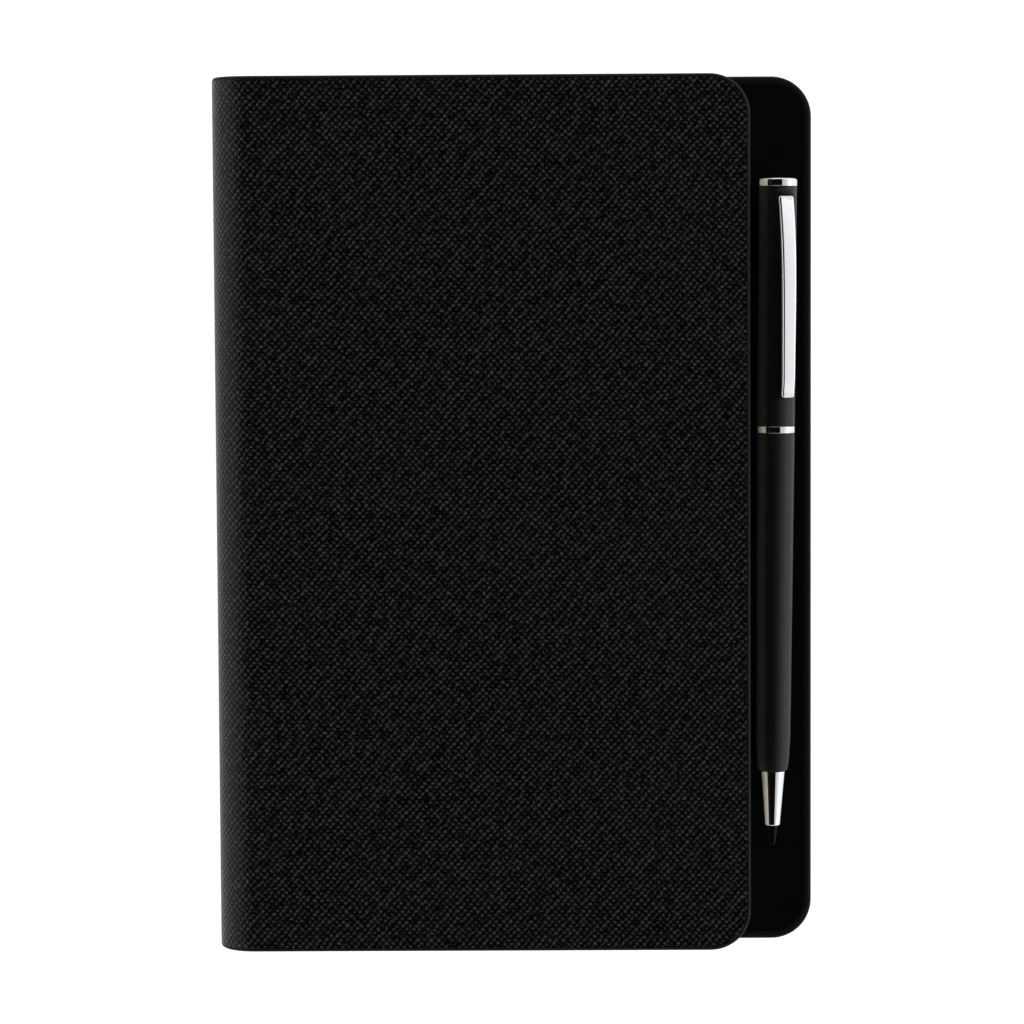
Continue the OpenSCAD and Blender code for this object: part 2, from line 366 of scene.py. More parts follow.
@dataclass(frozen=True)
class Metal(Finish):
    """Bare or plated metal with the faint unevenness that handling and turning leave."""

    ripple: float = 3 * MM
    relief: float = 0.002 * MM
    spread: float = 0.03

    def pattern(self, tree: Tree, shader: Node) -> None:
        """Adds faint smears to the gloss and a very low ripple."""
        place = self.place(tree)
        smears = self.smear(tree, shader, place, self.ripple, self.spread, self.spread)
        self.bump(tree, shader, smears, self.relief)


@dataclass(frozen=True)
class Lacquer(Finish):
    """Sprayed enamel on metal tube: satin, with the slight orange peel of the spray."""

    peel: float = 0.6 * MM
    relief: float = 0.0015 * MM
    smear_size: float = 9 * MM

    def pattern(self, tree: Tree, shader: Node) -> None:
        """Adds the orange peel and a faint change of gloss."""
        place = self.place(tree)
        self.bump(tree, shader, self.noise(tree, place, self.peel, 1.0), self.relief)
        self.smear(tree, shader, place, self.smear_size, 0.04, 0.05)


class Dress(Enum):
    """The finishes, each with the record's material slot that it dresses."""

    # Embossed leathercloth: near black, with painted light on the ridge tops and painted shade in
    # the hollows
    COVERING = ("cross_grain_leather", CrossGrain("embossed_leathercloth", "#010101", 0.35,
                                                  specular=0.15))
    # Smooth coated lining: deeper black, soft sheen, faint mottling
    LINING = ("smooth_lining", Grained("coated_black_lining", "#040404", 0.42, specular=0.06,
                                       relief=0.004 * MM, other="#070708"))
    # Pressed grey board: matte, flecked
    BOARD = ("grey_board", Grained("pressed_grey_board", "#9a948a", 0.9, other="#857f74",
                                   patch=1.5 * MM))
    # Flexible card of the spine: dark, matte
    CARD = ("spine_card", Grained("flexible_spine_card", "#2c2b2a", 0.85, other="#353432"))
    # Uncoated ivory paper: soft, slightly fibrous
    PAPER = ("writing_paper", Grained("uncoated_ivory_paper", "#f1e9d6", 0.85, specular=0.3,
                                      relief=0.012 * MM, other="#ece3cd"))
    # Uncoated black endpaper: matte, with pale fibres
    ENDPAPER = ("endpaper", Grained("black_endpaper", "#121213", 0.8, specular=0.25,
                                    relief=0.012 * MM, other="#18181a", patch=0.8 * MM))
    # Dried binding glue: yellowish, half gloss
    GLUE = ("binding_glue", Grained("dried_binding_glue", "#e2dabd", 0.45, grain=1.2 * MM,
                                    relief=0.08 * MM))
    # Waxed linen thread
    THREAD = ("linen_thread", Woven("waxed_linen_thread", "#ece6d4", 0.6, yarn=0.35 * MM,
                                    crossed=False))
    # Stiffened open cloth on the block's back
    MULL = ("spine_cloth", Woven("stiffened_spine_cloth", "#d9d2be", 0.85, yarn=1.1 * MM,
                                 other="#8f8875"))
    # Head and tail bands: pale cord wound with thread
    BAND = ("band_cloth", Woven("wound_end_band", "#e4e0d4", 0.7, yarn=0.6 * MM,
                                other="#4a4a4c", crossed=False))
    # Nickel plated magnets
    NICKEL = ("magnet", Metal("nickel_plated_magnet", "#b5b3ad", 0.22, metallic=1.0))
    # Satin black enamel on the brass barrels
    ENAMEL = ("black_lacquer", Lacquer("satin_black_enamel", "#131314", 0.42, specular=0.27))
    # Polished chrome plate: sharp dark and bright bands
    CHROME = ("bright_chrome", Metal("polished_chrome_plate", "#dcdee1", 0.07, metallic=1.0))
    # Turned brass of the sleeve and of the refill
    BRASS = ("turned_brass", Metal("lathe_turned_brass", "#c9a35a", 0.25, metallic=1.0))
    # Natural acetal of the cam
    CAM = ("cam_plastic", Grained("natural_acetal", "#d8d5cb", 0.4, relief=0.003 * MM))
    # Dark acetal of the refill holder
    HOLDER = ("holder_plastic", Grained("dark_acetal", "#2b2b2e", 0.4, relief=0.003 * MM))
    # Darkened steel of the writing point
    POINT = ("dark_steel", Metal("darkened_steel_point", "#121213", 0.45, metallic=1.0))

    @property
    def slot(self) -> str:
        """The record's slot that the finish belongs to."""
        return self.value[0]

    @property
    def material(self) -> bpy.types.Material:
        """The finish's material, made once."""
        finish = self.value[1]
        return bpy.data.materials.get(finish.name) or finish.make()

    def put_on(self, piece: bpy.types.Object) -> bpy.types.Object:
        """Gives a piece this finish, and returns the piece."""
        piece.data.materials.clear()
        piece.data.materials.append(self.material)
        return piece

    def put_on_nodes(self, *names: str) -> None:
        """Gives CAD nodes whose shape stays this finish."""
        for name in names:
            self.put_on(frame["nodes"][name])
            log.info("%s: its own mesh, %s", name, self.value[1].name)


# ---- mesh helpers ----


def add_object(name: str, data: bpy.types.ID) -> bpy.types.Object:
    """Returns a new object of some data, linked into the scene."""
    made = bpy.data.objects.new(name, data)
    bpy.context.scene.collection.objects.link(made)
    return made


def everything(bm: Mesh) -> list[Element]:
    """Returns all vertices, edges and faces of a mesh."""
    return [*bm.verts, *bm.edges, *bm.faces]


def round_edges(bm: Mesh, edges: Edges, radius: float, segments: int) -> None:
    """Rounds edges with an even arc.

    Args:
        bm: The mesh.
        edges: The edges to round.
        radius: The arc's radius on a square edge, in metres.
        segments: How many faces the arc gets.
    """
    bmesh.ops.bevel(bm, geom=edges, offset=radius, offset_type="OFFSET", affect="EDGES",
                    segments=segments, profile=0.5, material=-1, clamp_overlap=True)


def add_plate(bm: Mesh, x0: float, x1: float, width: float, corner: float,
              low: float, high: float, arc: int = 10) -> None:
    """Adds a closed flat plate, square at x0 and with round corners at x1.

    Args:
        bm: The mesh.
        x0: Where the plate starts.
        x1: Where it ends.
        width: Its size along Y, centred.
        corner: The corners' radius.
        low: Its lower face.
        high: Its upper face.
        arc: How many steps each corner has.
    """
    half = width / 2
    verts = [bm.verts.new((x, y, low)) for x, y in ((x0, -half), (x1, -half), (x1, half),
                                                    (x0, half))]
    before = set(bm.faces)
    bm.faces.new(verts)
    bmesh.ops.bevel(bm, geom=verts[1:3], offset=corner, offset_type="OFFSET",
                    affect="VERTICES", segments=arc, profile=0.5, material=-1)
    face = next(f for f in bm.faces if f not in before)
    made = bmesh.ops.extrude_face_region(bm, geom=[face], use_keep_orig=True)
    risen = [v for v in made["geom"] if isinstance(v, bmesh.types.BMVert)]
    bmesh.ops.translate(bm, vec=(0, 0, high - low), verts=risen)


def rim_edges(bm: Mesh, z: float, x_open: float) -> Edges:
    """Returns the edges at one height, apart from those along the open side at x_open."""
    return [e for e in bm.edges if all(abs(v.co.z - z) < TINY for v in e.verts)
            and not all(abs(v.co.x - x_open) < TINY for v in e.verts)]


def cut_across(bm: Mesh, start: float, end: float, count: int) -> None:
    """Cuts the mesh across X so that it can bend there.

    Args:
        bm: The mesh.
        start: The first cut.
        end: The last cut.
        count: How many gaps lie between them.
    """
    for i in range(count + 1):
        x = start + (end - start) * i / count
        bmesh.ops.bisect_plane(bm, geom=everything(bm), dist=TINY / 10,
                               plane_co=(x, 0, 0), plane_no=(1, 0, 0))


def finished(name: str, bm: Mesh, dress: Dress, sharp: float = 42.0,
             even: bool = True) -> bpy.types.Object:
    """Turns a mesh into a piece at the origin, with outward faces and smooth shading.

    Args:
        name: The piece's name.
        bm: Its mesh, which is freed.
        dress: Its finish.
        sharp: The angle past which an edge stays crisp, in degrees.
        even: Whether large flat faces set the shading of the arcs beside them.

    Returns:
        The piece.
    """
    bmesh.ops.recalc_face_normals(bm, faces=bm.faces)
    for face in bm.faces:
        face.smooth = True
    for edge in bm.edges:
        edge.smooth = edge.calc_face_angle(0.0) < math.radians(sharp)
    mesh = bpy.data.meshes.new(name)
    bm.to_mesh(mesh)
    bm.free()
    piece = add_object(name, mesh)
    if even:
        piece.modifiers.new("even_shading", "WEIGHTED_NORMAL").keep_sharp = True
    log.info("%s: %d faces, %s", name, len(mesh.polygons), dress.name.lower())
    return dress.put_on(piece)


def turned(profile: Sequence[tuple[float, float]], place: Matrix, closed: bool = False,
           steps: int = 96) -> Mesh:
    """Turns a profile round the local Z axis, as on a lathe.

    Args:
        profile: Radius and height of each point, in metres.
        place: Where the turned shape goes.
        closed: Whether the profile's last point joins its first, as on a tube.
        steps: How many faces go round.

    Returns:
        The closed mesh.
    """
    bm = bmesh.new()
    verts = [bm.verts.new((r, 0, z)) for r, z in profile]
    pairs = list(zip(verts, verts[1:])) + ([(verts[-1], verts[0])] if closed else [])
    edges = [bm.edges.new(pair) for pair in pairs]
    bmesh.ops.spin(bm, geom=[*verts, *edges], axis=(0, 0, 1), cent=(0, 0, 0),
                   angle=2 * math.pi, steps=steps, use_merge=True)
    bmesh.ops.remove_doubles(bm, verts=bm.verts, dist=TINY / 4)
    bmesh.ops.transform(bm, matrix=place, verts=bm.verts)
    return bm


def arc(centre: tuple[float, float], radius: float, start: float, end: float,
        steps: int) -> list[tuple[float, float]]:
    """Returns the points of an arc.

    Args:
        centre: Its centre.
        radius: Its radius.
        start: Its first angle, in degrees.
        end: Its last angle, in degrees.
        steps: How many gaps lie between the points.

    Returns:
        The points, both ends included.
    """
    angles = [math.radians(start + (end - start) * i / steps) for i in range(steps + 1)]
    return [(centre[0] + radius * math.cos(a), centre[1] + radius * math.sin(a))
            for a in angles]


def smooth_step(value: float) -> float:
    """Returns 0 below 0, 1 above 1 and an even S between."""
    value = min(max(value, 0.0), 1.0)
    return value * value * (3 - 2 * value)


# ---- the book's sizes ----


@dataclass(frozen=True)
class Book:
    """The driving places of the book, read from the frame."""

    height: float
    thick: float
    fold: float
    board: float
    front: float
    right: float
    cover: float
    hinge: float
    corner: float = 8.2 * MM
    leather: float = 0.6 * MM
    lining: float = 0.3 * MM
    rim: float = 1.4 * MM
    slack: float = 0.05 * MM

    @classmethod
    def from_frame(cls) -> "Book":
        """Reads the places from the CAD nodes' boxes and joints."""
        low, high = CAD_BOX
        back_low, back_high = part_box("back_leather")
        front_low, front_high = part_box("front_leather")
        turn = next(j for j in frame["joints"] if j["name"] == "front_flyleaf_turn")
        return cls(height=high.y - low.y, thick=high.z, fold=back_low.x, board=front_low.x,
                   front=front_high.x, right=back_high.x, cover=back_high.z,
                   hinge=turn["pos_m"][0])

    @property
    def roll(self) -> float:
        """The outer radius of the round spine."""
        return self.thick / 2

    def wrap_front(self, point: Vector) -> Vector:
        """Lays a point of the flat sheet in the closed front cover and round the spine.

        Args:
            point: X and Y on the flat sheet, and the depth under its outer face.

        Returns:
            The point on the closed book.
        """
        if point.x >= self.fold:
            return Vector((point.x, point.y, self.thick - point.z))
        turn = (self.fold - point.x) / self.roll
        radius = self.roll - point.z
        return Vector((self.fold - radius * math.sin(turn), point.y,
                       self.roll + radius * math.cos(turn)))

    def sheet_place(self, point: Vector, x_end: float) -> tuple[float, float]:
        """Says where a point of a wrapped cover lies on its sheet of covering.

        Args:
            point: X, Y and the depth under the outer face.
            x_end: The cover's fore-edge.

        Returns:
            The place on the sheet when it is unwrapped, in metres.
        """
        reach = self.height / 2 - self.corner
        inner = Vector((min(point.x, x_end - self.corner), min(max(point.y, -reach), reach)))
        away = Vector((point.x, point.y)) - inner
        if away.length < self.corner - self.cover:
            return point.x, point.y
        unrolled = inner + away.normalized() * (away.length + point.z)
        return unrolled.x, unrolled.y


@dataclass
class Case:
    """The case: covering, boards, linings, the spine's card and the hidden magnets."""

    book: Book
    outer_round: float = 0.85 * MM
    lip_round: float = 0.75 * MM
    spine_cuts: int = 40
    joint_cuts: int = 14
    bend_before: float = 2 * MM
    bend_depth: float = 0.5 * MM
    bend_reach: tuple[float, float, float] = (5.5 * MM, 0, 2 * MM)

    def wrapped(self, name: str, x0: float, x1: float,
                lay: Callable[[Vector], Vector]) -> bpy.types.Object:
        """Builds one piece of covering: its face, its rounded edges and its turned-in lip.

        Args:
            name: The piece's name.
            x0: Its open side, on the flat sheet.
            x1: Its fore-edge.
            lay: Lays a point of the flat sheet in place.

        Returns:
            The piece.
        """
        b = self.book
        bm = bmesh.new()
        add_plate(bm, x0, x1, b.height, b.corner, 0.0, b.cover, arc=14)
        round_edges(bm, rim_edges(bm, 0.0, x0), self.outer_round, 5)
        round_edges(bm, rim_edges(bm, b.cover, x0), self.lip_round, 3)
        ends = [f for f in bm.faces if all(abs(v.co.x - x0) < TINY for v in f.verts)]
        bmesh.ops.delete(bm, geom=ends, context="FACES_ONLY")
        inner = max((f for f in bm.faces if f.calc_center_median().z > b.cover - TINY),
                    key=lambda f: f.calc_area())
        bmesh.ops.inset_region(bm, faces=[inner], use_even_offset=True,
                               thickness=b.rim - self.lip_round)
        bmesh.ops.delete(bm, geom=[inner], context="FACES_ONLY")
        bmesh.ops.recalc_face_normals(bm, faces=bm.faces)
        bmesh.ops.solidify(bm, geom=bm.faces[:], thickness=b.leather)
        if x0 < b.fold:
            cut_across(bm, x0, b.fold, self.spine_cuts)
            cut_across(bm, b.fold, b.board + MM, self.joint_cuts)
        places = bm.loops.layers.uv.new(SHEET_UV)
        for face in bm.faces:
            for loop in face.loops:
                loop[places].uv = b.sheet_place(loop.vert.co, x1)
        pressed = bm.verts.layers.float.new(PRESSED)
        for vert in bm.verts:
            vert[pressed] = float(vert.co.z > TINY)
            vert.co = lay(vert.co)
        return finished(name, bm, Dress.COVERING)

    def sheet(self, name: str, dress: Dress, x0: float, x1: float, inset: float, low: float,
              high: float, lay: Callable[[Vector], Vector]) -> bpy.types.Object:
        """Builds a flat sheet that lines a cover or the spine.

        Args:
            name: The piece's name.
            dress: Its finish.
            x0: Where it starts, on the flat sheet.
            x1: Where it ends.
            inset: How far its other sides stay inside the cover's.
            low: Its outer face, as a depth under the covering's face.
            high: Its inner face.
            lay: Lays a point of the flat sheet in place.

        Returns:
            The piece.
        """
        b = self.book
        bm = bmesh.new()
        corner = b.corner - inset if x1 > b.board else TINY
        add_plate(bm, x0, x1, b.height - 2 * inset, corner, low, high)
        round_edges(bm, rim_edges(bm, high, x0), 0.1 * MM, 2)
        if x0 < b.fold:
            cut_across(bm, x0, b.fold, self.spine_cuts)
        if x0 < b.board:
            cut_across(bm, max(x0, b.fold), min(x1, b.board + MM), self.joint_cuts)
        for vert in bm.verts:
            vert.co = lay(vert.co)
        return finished(name, bm, dress)

    def bend_with_cover(self, piece: bpy.types.Object) -> None:
        """Bakes the place of a glued layer that lies over the joint, from the roll to the board,
        into its mesh.
        """
        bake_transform(piece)

    def build(self) -> None:
        """Builds and dresses the case."""
        b = self.book
        stay: Callable[[Vector], Vector] = lambda point: point.copy()
        roll_start = b.fold - math.pi * b.roll
        cover = self.wrapped("front_and_spine_covering", roll_start, b.front, b.wrap_front)
        self.bend_with_cover(cover)
        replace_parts(cover, "front_leather", "spine_leather")
        back = self.wrapped("back_covering", b.fold, b.right, stay)
        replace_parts(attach(back, "back_cover"), "back_leather")
        card = self.sheet("spine_card", Dress.CARD, roll_start, b.board - b.slack, b.rim,
                          b.leather + b.slack, b.cover - 2 * b.slack, b.wrap_front)
        self.bend_with_cover(card)
        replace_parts(card, "spine_liner")

        edge = b.rim + b.slack
        depths = (b.cover - b.lining, b.cover)
        front_lining = self.sheet("front_lining_sheet", Dress.LINING, b.hinge, b.front - edge,
                                  edge, *depths, b.wrap_front)
        self.bend_with_cover(front_lining)
        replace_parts(front_lining, "front_lining")
        back_lining = self.sheet("back_lining_sheet", Dress.LINING, b.fold, b.right - edge,
                                 edge, *depths, stay)
        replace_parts(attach(back_lining, "back_cover"), "back_lining")
        Dress.BOARD.put_on_nodes("front_board", "back_board")
        Dress.NICKEL.put_on_nodes("pen_magnets")


@dataclass
class TextBlock:
    """The sewn leaves with their endpapers, glue, cloth, thread and end bands."""

    book: Book
    leaves_each: int = 16
    leaf_share: float = 0.8
    corner_cut: float = 1.9 * MM
    bend: float = 9 * MM
    flyleaf_bend: float = 10.5 * MM
    bend_cuts: int = 9
    jitter: float = 0.13 * MM
    draw: random.Random = field(default_factory=lambda: random.Random(11))

    @property
    def corner(self) -> float:
        """The radius of the leaves' round corners."""
        return self.book.corner - self.corner_cut

    def swing(self, piece: bpy.types.Object, node: str) -> None:
        """Bakes the leaves' place into their mesh and stands them in for their CAD node."""
        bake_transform(piece)
        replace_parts(piece, node)

    def signature(self, node: str) -> None:
        """Builds one signature from its separate leaves, none cut quite alike."""
        low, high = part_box(node)
        pitch = (high.z - low.z) / self.leaves_each
        bm = bmesh.new()
        for i in range(self.leaves_each):
            short = self.draw.uniform(0, self.jitter)
            narrow = self.draw.uniform(0, 2 * self.jitter)
            z = low.z + i * pitch
            add_plate(bm, self.book.hinge, high.x - short, high.y - low.y - narrow,
                      self.corner, z, z + self.leaf_share * pitch, arc=6)
        cut_across(bm, self.book.hinge, self.book.hinge + self.bend, self.bend_cuts)
        piece = finished(f"{node}_leaves", bm, Dress.PAPER, sharp=30, even=False)
        self.swing(piece, node)

    def flyleaf(self, node: str) -> None:
        """Builds one black endpaper leaf."""
        low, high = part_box(node)
        bm = bmesh.new()
        add_plate(bm, self.book.hinge, high.x, high.y - low.y, self.corner, low.z, high.z)
        cut_across(bm, self.book.hinge, self.book.hinge + self.flyleaf_bend, self.bend_cuts)
        self.swing(finished(f"{node}_sheet", bm, Dress.ENDPAPER, even=False), node)

    def end_band(self, node: str, side: int) -> None:
        """Builds a cord wound with thread along the edge of the leaves.

        Args:
            node: The CAD node that it stands for.
            side: 1 at the head and -1 at the tail.
        """
        low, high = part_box(node)
        radius, turns, groove = 0.8 * MM, 24, 0.12 * MM
        tab_thick, tab_reach = 0.25 * MM, 6 * MM
        centre = Vector((high.x - radius, (high.y if side > 0 else low.y) - side * radius, 0))
        length = high.z - low.z
        points = [(0.0, low.z)]
        for i in range(turns * 4 + 1):
            bulge = abs(math.sin(math.pi * i / 4))
            points.append((radius - groove * (1 - bulge), low.z + length * i / turns / 4))
        bm = turned([*points, (0.0, high.z)], Matrix.Translation(centre), steps=24)
        tab = bmesh.ops.create_cube(bm, size=1.0)["verts"]
        inner = centre.y - side * tab_reach
        size = Vector((tab_thick, tab_reach, length))
        place = Vector((low.x + size.x / 2, (inner + centre.y) / 2, (low.z + high.z) / 2))
        bmesh.ops.transform(bm, verts=tab, matrix=Matrix.LocRotScale(place, None, size))
        band = finished(f"{node}_wound", bm, Dress.BAND, sharp=60, even=False)
        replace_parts(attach(band, "back_cover"), node)

    def build(self) -> None:
        """Builds and dresses the text block."""
        for number in range(1, 7):
            self.signature(f"signature_{number}")
        self.flyleaf("front_flyleaf")
        self.flyleaf("back_flyleaf")
        self.end_band("headband", 1)
        self.end_band("tailband", -1)
        Dress.GLUE.put_on_nodes("spine_glue")
        Dress.THREAD.put_on_nodes("sewing_thread")
        Dress.MULL.put_on_nodes("spine_mull")


@dataclass
class Pen:
    """The slim twist ballpoint. Stations run along its axis from the mouth of the tip."""

    length: float = 132.7 * MM
    radius: float = 3.9 * MM
    lower_radius: float = 3.88 * MM
    ring_station: float = 80.85 * MM
    ring_height: float = 1.4 * MM
    finial_height: float = 1.65 * MM
    tip_length: float = 11.4 * MM
    tip_top: float = 2.55 * MM
    tip_end: float = 1.65 * MM
    taper: float = 10.4 * MM
    waist: float = 3.58 * MM
    nose: float = 2.85 * MM
    bore: float = 3.3 * MM
    nib: float = 4.3 * MM
    clip_width: float = 3.4 * MM
    clip_end_width: float = 2.8 * MM
    clip_thick: float = 0.8 * MM
    clip_length: float = 41.3 * MM
    clip_turn: float = 23.0
    clip_sink: float = 0.7 * MM
    clip_rise: float = 2 * MM
    rise_length: float = 28 * MM
    clip_dip: float = 0.3 * MM
    dip_length: float = 4 * MM
    tab_width: float = 2.4 * MM
    place: Matrix = field(init=False)

    def __post_init__(self) -> None:
        """Finds the pen's place from the joint between its two barrels."""
        twist = next(j for j in frame["joints"] if j["name"] == "pen_twist")
        axis = Vector(twist["axis"]).normalized()
        down = Vector((0, 0, -1))
        across = down.cross(axis).normalized()
        turn = Matrix((across, axis.cross(across), axis)).transposed().to_4x4()
        origin = Vector(twist["pos_m"]) - axis * self.ring_station
        self.place = Matrix.Translation(origin) @ turn

    @property
    def clip_top(self) -> float:
        """The station of the clip's top."""
        return self.length - 3.25 * MM

    def keep(self, name: str, bm: Mesh, dress: Dress, body: str, node: str,
             sharp: float = 35.0) -> bpy.types.Object:
        """Finishes a piece, rides it on its body and stands it in for its CAD node."""
        piece = finished(name, bm, dress, sharp=sharp)
        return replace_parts(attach(piece, body), node)

    def finial(self) -> None:
        """Builds the bright cap band with its soft top edge and its stem."""
        base, top, edge = self.length - self.finial_height, self.length, 0.5 * MM
        r, lip = self.radius + 0.1 * MM, 0.12 * MM
        stem, stem_radius = 1.5 * MM, self.bore - 0.05 * MM
        profile = [(0, base - stem), (stem_radius, base - stem), (stem_radius, base),
                   (r - lip, base), *arc((r - lip, base + lip), lip, -60, 0, 3),
                   *arc((r - edge, top - edge), edge, 0, 84, 7), (0.6 * r, top), (0, top)]
        self.keep("finial_cap", turned(profile, self.place), Dress.CHROME, "pen", "pen_finial")

    def upper_barrel(self) -> None:
        """Builds the upper tube and cuts the clip's slot through its wall."""
        low, high = self.ring_station + self.ring_height, self.length - self.finial_height
        c = 0.1 * MM
        profile = [(self.bore, low), (self.radius - c, low), (self.radius, low + c),
                   (self.radius, high - c), (self.radius - c, high), (self.bore, high)]
        wall = turned(profile, self.place, closed=True, steps=128)
        barrel = self.keep("upper_barrel", wall, Dress.ENAMEL, "pen", "pen_upper_barrel")
        box = bmesh.new()
        bmesh.ops.create_cube(box, size=1.0)
        slot_top, slot_length, slot_depth, slack = 0.15 * MM, 3.95 * MM, 3 * MM, 0.1 * MM
        size = Vector((slot_depth, self.clip_width + slack, slot_length))
        seat = Matrix.LocRotScale(
            Vector((self.bore + 0.5 * MM, 0, self.clip_top - slot_top - slot_length / 2)),
            None, size)
        bmesh.ops.transform(box, matrix=self.place @ self.clip_side() @ seat, verts=box.verts)
        cutter = finished("slot_cutter", box, Dress.ENAMEL, even=False)
        cut = barrel.modifiers.new("clip_slot", "BOOLEAN")
        cut.object, cut.operation, cut.solver = cutter, "DIFFERENCE", "EXACT"
        with bpy.context.temp_override(object=barrel):
            bpy.ops.object.modifier_move_to_index(modifier=cut.name, index=0)
            bpy.ops.object.modifier_apply(modifier=cut.name)
        bpy.data.objects.remove(cutter)

    def clip_side(self) -> Matrix:
        """Returns the turn round the barrel from local X to the clip's side."""
        return Matrix.Rotation(math.radians(self.clip_turn - 90), 4, "Z")

    def ring(self) -> None:
        """Builds the bright ring between the barrels."""
        low, high = self.ring_station + 0.05 * MM, self.ring_station + self.ring_height
        r, c = self.radius + 0.05 * MM, 0.1 * MM
        profile = [(self.bore - 0.1 * MM, low), *arc((r - c, low + c), c, -90, 0, 4),
                   *arc((r - c, high - c), c, 0, 90, 4), (self.bore - 0.1 * MM, high)]
        self.keep("centre_ring", turned(profile, self.place, closed=True), Dress.CHROME,
                  "pen", "pen_ring")

    def lower_barrel(self) -> None:
        """Builds the lower tube: a slight taper, then a rounded shoulder at the tip."""
        start, top, c = self.tip_length, self.ring_station, 0.1 * MM
        drop = self.waist - self.nose
        shoulder = [(self.nose + drop * math.sin(a), start + self.taper * (1 - math.cos(a)))
                    for a in [math.radians(90 * i / 18) for i in range(19)]]
        wide, narrow, step = 2.9 * MM, 1.9 * MM, start + 18 * MM
        inner = [(wide, top), (wide, step), (narrow, step), (narrow, start)]
        profile = [(self.nose - c, start), *shoulder[1:], (self.lower_radius, top - c),
                   (self.lower_radius - c, top), *inner]
        self.keep("lower_barrel", turned(profile, self.place, closed=True), Dress.ENAMEL,
                  "pen_front", "pen_lower_barrel")

    def tip(self) -> None:
        """Builds the bright cone with its rolled mouth and its stem."""
        mouth, bore, lip = 0.3 * MM, 1.25 * MM, 0.1 * MM
        high, end, stem_radius = self.tip_length, self.tip_end, 1.85 * MM
        stem = high + 5 * MM
        profile = [(bore, stem), (bore, mouth), *arc((bore + lip, lip), lip, 180, 270, 3),
                   *arc((end - mouth, mouth), mouth, -80, 8, 6),
                   (self.tip_top, high - 0.15 * MM), (self.tip_top - lip, high),
                   (stem_radius, high), (stem_radius, stem)]
        self.keep("tip_cone", turned(profile, self.place, closed=True), Dress.CHROME,
                  "pen_front", "pen_tip")

    def point(self) -> None:
        """Builds the writing point: a shank, a step and the cone that holds the ball."""
        shank, high, ball = 1.15 * MM, 4 * MM, 0.6 * MM
        profile = [(0, high), (shank, high), (shank, -0.3 * MM), (1.05 * MM, -0.6 * MM),
                   (1.0 * MM, -0.9 * MM), (0.66 * MM, -self.nib + 0.5 * MM),
                   *arc((0, -self.nib + ball), ball, -10, -90, 8)]
        self.keep("writing_point", turned(profile, self.place, steps=48), Dress.POINT,
                  "refill", "pen_refill_point")

    def clip_stand(self, s: float) -> float:
        """Returns the clip's height above the barrel at a distance below its top."""
        left = 1 - min(s / self.rise_length, 1.0)
        turn_in = smooth_step((s - self.clip_length + self.dip_length) / self.dip_length)
        return self.clip_rise * (1 - left ** 3) - self.clip_sink - self.clip_dip * turn_in

    def clip_strip(self) -> Mesh:
        """Builds the clip's strip: rounded along its face, narrower towards its free end."""
        r, w, t, top = self.radius, self.clip_width, self.clip_thick, self.clip_top
        first, steps = 0.3 * MM, 48
        drops = [first + (self.clip_length - first) * i / steps for i in range(steps + 1)]
        outer = [(r + t + self.clip_stand(s), top - s) for s in drops]
        inner = [(r + self.clip_stand(s), top - s) for s in reversed(drops)]
        bm = bmesh.new()
        side = bm.faces.new([bm.verts.new((x, -w / 2, z)) for x, z in [*outer, *inner]])
        made = bmesh.ops.extrude_face_region(bm, geom=[side], use_keep_orig=True)
        moved = [v for v in made["geom"] if isinstance(v, bmesh.types.BMVert)]
        bmesh.ops.translate(bm, vec=(0, w, 0), verts=moved)
        bmesh.ops.recalc_face_normals(bm, faces=bm.faces)
        ends = (top - self.clip_length, top - first)
        corners = [e for e in bm.edges if abs(e.verts[0].co.y - e.verts[1].co.y) < TINY
                   and any(all(abs(v.co.z - z) < TINY for v in e.verts) for z in ends)]
        round_edges(bm, corners, 0.6 * MM, 6)

        def on_face(edge: bmesh.types.BMEdge) -> bool:
            """Whether an edge bounds the clip's outer face."""
            if len(edge.link_faces) != 2 or edge.calc_face_angle(0.0) < math.radians(50):
                return False
            return all(v.co.x > r + t + self.clip_stand(top - v.co.z) - 0.01 * MM
                       for v in edge.verts)

        bmesh.ops.bevel(bm, geom=[e for e in bm.edges if on_face(e)], offset=0.5 * MM,
                        offset_type="OFFSET", affect="EDGES", segments=5, profile=0.5,
                        material=-1, clamp_overlap=False)
        narrowing = (1 - self.clip_end_width / w) / self.clip_length
        for vert in bm.verts:
            vert.co.y *= 1 - narrowing * (top - vert.co.z)
        return bm

    def clip(self) -> None:
        """Builds the sprung clip: its strip, its tab in the barrel and the foot at its end."""
        bm = self.clip_strip()
        tab = bmesh.ops.create_cube(bm, size=1.0)["verts"]
        inside = 0.5 * MM
        size = Vector((self.radius - self.bore + inside, self.tab_width, 1.4 * MM))
        seat = Vector((self.bore - inside + size.x / 2, 0, self.clip_top - 1.7 * MM))
        bmesh.ops.transform(bm, verts=tab, matrix=Matrix.LocRotScale(seat, None, size))
        foot = bmesh.ops.create_uvsphere(bm, u_segments=24, v_segments=12, radius=1.0)["verts"]
        size = Vector((0.9 * MM, self.tab_width / 2, 1.25 * MM))
        seat = Vector((self.radius + 0.12 * MM + size.x, 0,
                       self.clip_top - self.clip_length + 1.75 * MM))
        bmesh.ops.transform(bm, verts=foot, matrix=Matrix.LocRotScale(seat, None, size))
        bmesh.ops.transform(bm, matrix=self.place @ self.clip_side(), verts=bm.verts)
        self.keep("sprung_clip", bm, Dress.CHROME, "clip", "pen_clip", sharp=50)

    def build(self) -> None:
        """Builds and dresses the pen."""
        self.finial()
        self.upper_barrel()
        self.ring()
        self.lower_barrel()
        self.tip()
        self.point()
        self.clip()
        Dress.BRASS.put_on_nodes("pen_sleeve", "pen_refill_tube")
        Dress.CAM.put_on_nodes("pen_cam")
        Dress.HOLDER.put_on_nodes("pen_refill_holder")


